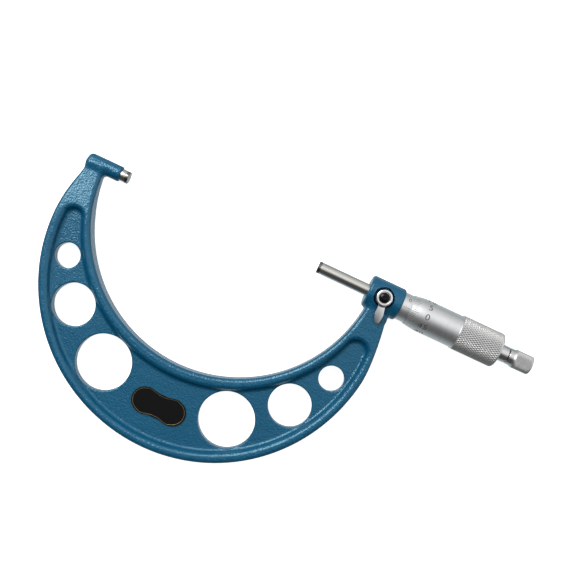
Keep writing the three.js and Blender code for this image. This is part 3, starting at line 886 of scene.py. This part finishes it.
def make_lock_washer():
    low, high = span("lock_washer")
    radius = (high.x - low.x) / 2
    hole = 2.0
    profile = rounded([(low.z, hole, 0), (low.z, radius, 0.08), (high.z, radius, 0.12), (high.z, hole, 0)])
    piece = turned_up(revolved("lock_washer_turned", profile, evenly(96), [black_oxide()]), LOCK_X, LOCK_Y)
    return place(piece, "frame_assembly", "black_steel", "lock_washer")


# ---- Materials ----

made_materials = {}

# A Mix node's colour sockets share their names with its other ones, so they go by number.
FIRST_COLOR = 6
SECOND_COLOR = 7
MIXED_COLOR = 2


def add(tree, kind, inputs=(), **settings):
    """A new node. inputs gives a socket a value, or joins it to another node's output."""
    node = tree.nodes.new(kind)
    for name, value in settings.items():
        setattr(node, name, value)
    for name, value in dict(inputs).items():
        if isinstance(value, bpy.types.NodeSocket):
            tree.links.new(value, node.inputs[name])
        else:
            node.inputs[name].default_value = value
    return node


def material(name, build=None, **surface):
    """The material of that name, made once: a Principled shader with these values, to which build adds."""
    if name not in made_materials:
        made = bpy.data.materials.new(name)
        made.use_nodes = True
        shader = made.node_tree.nodes["Principled BSDF"]
        for socket, value in surface.items():
            shader.inputs[socket.replace("_", " ")].default_value = value
        if build is not None:
            place_in_object = add(made.node_tree, "ShaderNodeTexCoord").outputs["Object"]
            build(made.node_tree, shader, place_in_object)
        made_materials[name] = made
    return made_materials[name]


def noise(tree, where, size, detail=2.0, stretch=(1, 1, 1)):
    """Noise whose features are about size metres across, times stretch along each axis."""
    scale = [1 / (size * s) for s in stretch]
    mapped = add(tree, "ShaderNodeMapping", {"Vector": where, "Scale": scale})
    made = add(tree, "ShaderNodeTexNoise", {"Vector": mapped.outputs[0], "Scale": 1.0, "Detail": detail})
    return made.outputs["Fac"]


def mapped_range(tree, value, low, high, to_low, to_high, curve="LINEAR"):
    inputs = {"Value": value, "From Min": low, "From Max": high, "To Min": to_low, "To Max": to_high}
    return add(tree, "ShaderNodeMapRange", inputs, interpolation_type=curve).outputs["Result"]


def blend(tree, share, first, second):
    """A colour that goes from the first to the second as share goes from 0 to 1."""
    inputs = {"Factor": share, FIRST_COLOR: (*first, 1), SECOND_COLOR: (*second, 1)}
    return add(tree, "ShaderNodeMix", inputs, data_type="RGBA").outputs[MIXED_COLOR]


def multiplied(tree, first, second):
    inputs = {"Factor": 1, FIRST_COLOR: first, SECOND_COLOR: second}
    return add(tree, "ShaderNodeMix", inputs, data_type="RGBA", blend_type="MULTIPLY").outputs[MIXED_COLOR]


def bump(tree, shader, layers):
    """Bumps laid over each other. A layer is (height socket, depth in metres, strength)."""
    normal = None
    for height, depth, strength in layers:
        inputs = {"Height": height, "Distance": depth, "Strength": strength}
        if normal is not None:
            inputs["Normal"] = normal
        normal = add(tree, "ShaderNodeBump", inputs).outputs["Normal"]
    tree.links.new(normal, shader.inputs["Normal"])


def enamel_paint():
    """Glossy blue hammered enamel, with a fine grain and a slight swell under the gloss."""
    def build(tree, shader, where):
        cloud = noise(tree, where, 0.02, 3)
        grain = noise(tree, where, 0.0011, 3)
        swell = noise(tree, where, 0.004, 2)
        grain_share = mapped_range(tree, grain, 0.35, 0.65, 0, 1)
        cloud_share = mapped_range(tree, cloud, 0.3, 0.7, 0, 1)
        tone = blend(tree, grain_share, (0.001, 0.062, 0.128), (0.003, 0.082, 0.166))
        shift = blend(tree, cloud_share, (0.92, 0.94, 0.96), (1.05, 1.04, 1.03))
        tree.links.new(multiplied(tree, tone, shift), shader.inputs["Base Color"])
        tree.links.new(mapped_range(tree, cloud, 0.3, 0.7, 0.21, 0.27), shader.inputs["Roughness"])
        bump(tree, shader, [(swell, 0.0003, 0.6), (grain, 0.00033, 0.85)])

    return material("enamel_paint", build, Specular_IOR_Level=0.8, Specular_Tint=(0.52, 0.86, 1, 1))


def turned_metal(name, color, roughness, mark=0.00012, depth=0.000004, spread=0.05):
    """Metal turned or ground about X: fine rings, and a roughness that wanders a little."""
    def build(tree, shader, where):
        rings = noise(tree, where, mark, 2, stretch=(1, 60, 60))
        patches = noise(tree, where, 0.006, 3)
        tone = mapped_range(tree, patches, 0.3, 0.7, 0, 1)
        darker = [0.93 * part for part in color]
        tree.links.new(blend(tree, tone, darker, color), shader.inputs["Base Color"])
        varied = mapped_range(tree, rings, 0.3, 0.7, roughness - spread, roughness + spread)
        tree.links.new(varied, shader.inputs["Roughness"])
        bump(tree, shader, [(rings, depth, 0.6)])

    return material(name, build, Metallic=1.0)


def polished_steel():
    return turned_metal("polished_steel", (0.66, 0.645, 0.61), 0.17, depth=0.000003, spread=0.03)


def polished_chrome():
    return turned_metal("polished_chrome", (0.70, 0.70, 0.70), 0.16, depth=0.000003, spread=0.03)


def satin_chrome():
    return turned_metal("satin_chrome", (0.72, 0.73, 0.735), 0.43, mark=0.0002)


def knurled_chrome():
    return turned_metal("knurled_chrome", (0.7, 0.7, 0.69), 0.3, mark=0.0003)


def carbide():
    return turned_metal("carbide", (0.22, 0.215, 0.205), 0.14, spread=0.02)


def mottled(name, color, roughness, grain, metallic=1.0, specular=0.5):
    """A smooth surface whose tone and roughness wander a little in patches of the grain's size."""
    depth = 0.00001

    def build(tree, shader, where):
        patches = noise(tree, where, grain, 4)
        darker = [0.8 * part for part in color]
        tree.links.new(blend(tree, patches, darker, color), shader.inputs["Base Color"])
        varied = mapped_range(tree, patches, 0.3, 0.7, 0.8 * roughness, 1.2 * roughness)
        tree.links.new(varied, shader.inputs["Roughness"])
        bump(tree, shader, [(patches, depth, 0.5)])

    return material(name, build, Metallic=metallic, Specular_IOR_Level=specular)


def bright_chrome():
    return mottled("bright_chrome", (0.90, 0.91, 0.92), 0.14, 0.002)


def old_brass():
    return mottled("old_brass", (0.20, 0.165, 0.095), 0.4, 0.0006)


def turned_brass():
    return mottled("turned_brass", (0.62, 0.44, 0.17), 0.3, 0.0006)


def black_oxide():
    color = (0.005, 0.005, 0.005)
    return mottled("black_oxide", color, 0.1, 0.0006, metallic=0.0, specular=0.15)


def black_enamel():
    color = (0.004, 0.004, 0.004)
    return mottled("black_enamel", color, 0.35, 0.0005, metallic=0.0, specular=0.12)


def scale_ink():
    return mottled("scale_ink", (0.075, 0.077, 0.08), 0.55, 0.0004, metallic=0.0)


def pale_floor():
    """White that glows a little, so that the tool throws only a faint shadow."""
    return material(
        "floor_pale",
        Base_Color=(0.9, 0.9, 0.9, 1),
        Roughness=0.9,
        Specular_IOR_Level=0.0,
        Emission_Color=(1, 1, 1, 1),
        Emission_Strength=0.85,
    )


# ---- Studio ----


def ramp(tree, value, low, high, to_low, to_high):
    """A mapped range with a smooth start and end."""
    return mapped_range(tree, value, low, high, to_low, to_high, curve="SMOOTHSTEP")


def product(tree, first, second):
    return add(tree, "ShaderNodeMath", {0: first, 1: second}, operation="MULTIPLY").outputs[0]


def mixed(tree, share, first, second):
    """A number that goes from the first to the second as share goes from 0 to 1."""
    return add(tree, "ShaderNodeMix", {"Factor": share, "A": first, "B": second}).outputs["Result"]


def make_world():
    """A pale room: bright overhead towards +Y, dim towards -Y, and faintly blue from below."""
    world = bpy.data.worlds.new("studio")
    world.use_nodes = True
    bpy.context.scene.world = world
    tree = world.node_tree
    direction = add(tree, "ShaderNodeTexCoord").outputs["Generated"]
    parts = add(tree, "ShaderNodeSeparateXYZ", {"Vector": direction})
    side, height = parts.outputs["Y"], parts.outputs["Z"]
    ceiling = ramp(tree, side, -0.5, 0.25, 0.08, 1.06)
    far_side = ramp(tree, side, 0.5, 1.0, 1.0, 0.62)
    horizon = ramp(tree, height, 0.0, 0.1, 1.0, 0.0)
    wall = ramp(tree, side, -1.0, 1.0, 0.15, 0.6)
    room = mixed(tree, horizon, product(tree, ceiling, far_side), wall)
    under = ramp(tree, height, -1.0, -0.2, 0.85, 0.38)
    is_under = ramp(tree, height, -0.04, 0.0, 1.0, 0.0)
    background = tree.nodes["Background"]
    tree.links.new(blend(tree, is_under, (1, 1, 1), (0.88, 0.97, 1)), background.inputs["Color"])
    tree.links.new(mixed(tree, is_under, room, under), background.inputs["Strength"])


def make_light(name, place_at, width, height, power):
    """A soft light that faces the middle of the tool from a place relative to it. Sizes are in metres."""
    light = bpy.data.lights.new(name, "AREA")
    light.shape = "RECTANGLE"
    light.size = width
    light.size_y = height
    light.energy = power
    holder = bpy.data.objects.new(name, light)
    bpy.context.scene.collection.objects.link(holder)
    low, high = cad_box
    centre = (low + high) / 2
    holder.location = centre + Vector(place_at)
    holder.rotation_euler = (holder.location - centre).to_track_quat("Z", "Y").to_euler()


def make_floor():
    """A pale floor that only the camera sees."""
    floor_z = cad_box[0].z
    half = 4.0
    corners = [(x, y, floor_z) for x, y in ((-half, -half), (half, -half), (half, half), (-half, half))]
    mesh = bpy.data.meshes.new("floor")
    mesh.from_pydata(corners, [], [(0, 1, 2, 3)])
    mesh.materials.append(pale_floor())
    floor = bpy.data.objects.new("floor", mesh)
    bpy.context.scene.collection.objects.link(floor)
    floor.visible_glossy = False
    floor.visible_diffuse = False
    floor.visible_shadow = False


def make_camera():
    """Straight down on the front of the tool, turned so that the spindle slants down to the right.

    Sizes are in metres.
    """
    slant = math.radians(25.1)
    centre = Vector((0.1141, -0.0192, 0))
    distance = 0.476
    half_width = 0.1728  # of what the camera sees at the spindle's height
    camera = bpy.data.cameras.new("camera")
    camera.sensor_width = 36
    camera.lens = camera.sensor_width / 2 * distance / half_width
    camera.clip_start = 0.01
    holder = bpy.data.objects.new("camera", camera)
    bpy.context.scene.collection.objects.link(holder)
    holder.location = centre + Vector((0, 0, distance))
    holder.rotation_euler = (0, 0, slant)
    bpy.context.scene.camera = holder


# ---- The scene ----

HIDDEN_FINISHES = {
    "inner_sleeve": polished_steel,
    "adjusting_nut": polished_steel,
    "lock_pad": turned_brass,
    "lock_stud": polished_steel,
    "ratchet_spring": polished_steel,
    "ratchet_wheel": polished_steel,
}


def finish_hidden_nodes():
    """Gives the CAD pieces that stay as they are, inside the others, their real finishes."""
    for node, finish in HIDDEN_FINISHES.items():
        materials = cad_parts[node].data.materials
        materials.clear()
        materials.append(finish())


make_camera()
make_world()
make_light("softbox", (-0.67, 0.46, 0.9), 0.7, 0.46, 11)
make_floor()
bpy.context.scene.view_settings.view_transform = "Standard"

make_frame()
make_nameplate()
make_anvil()
make_tip("anvil_tip", "frame_assembly", 1)
make_tip("spindle_tip", "screw_carriage", -1)
make_spindle()
make_sleeve()
make_thimble_barrel()
make_thimble_grip()
make_stem()
make_cap()
make_ratchet_screw()
make_lock_washer()
make_lever()
make_lock_screw()
finish_hidden_nodes()
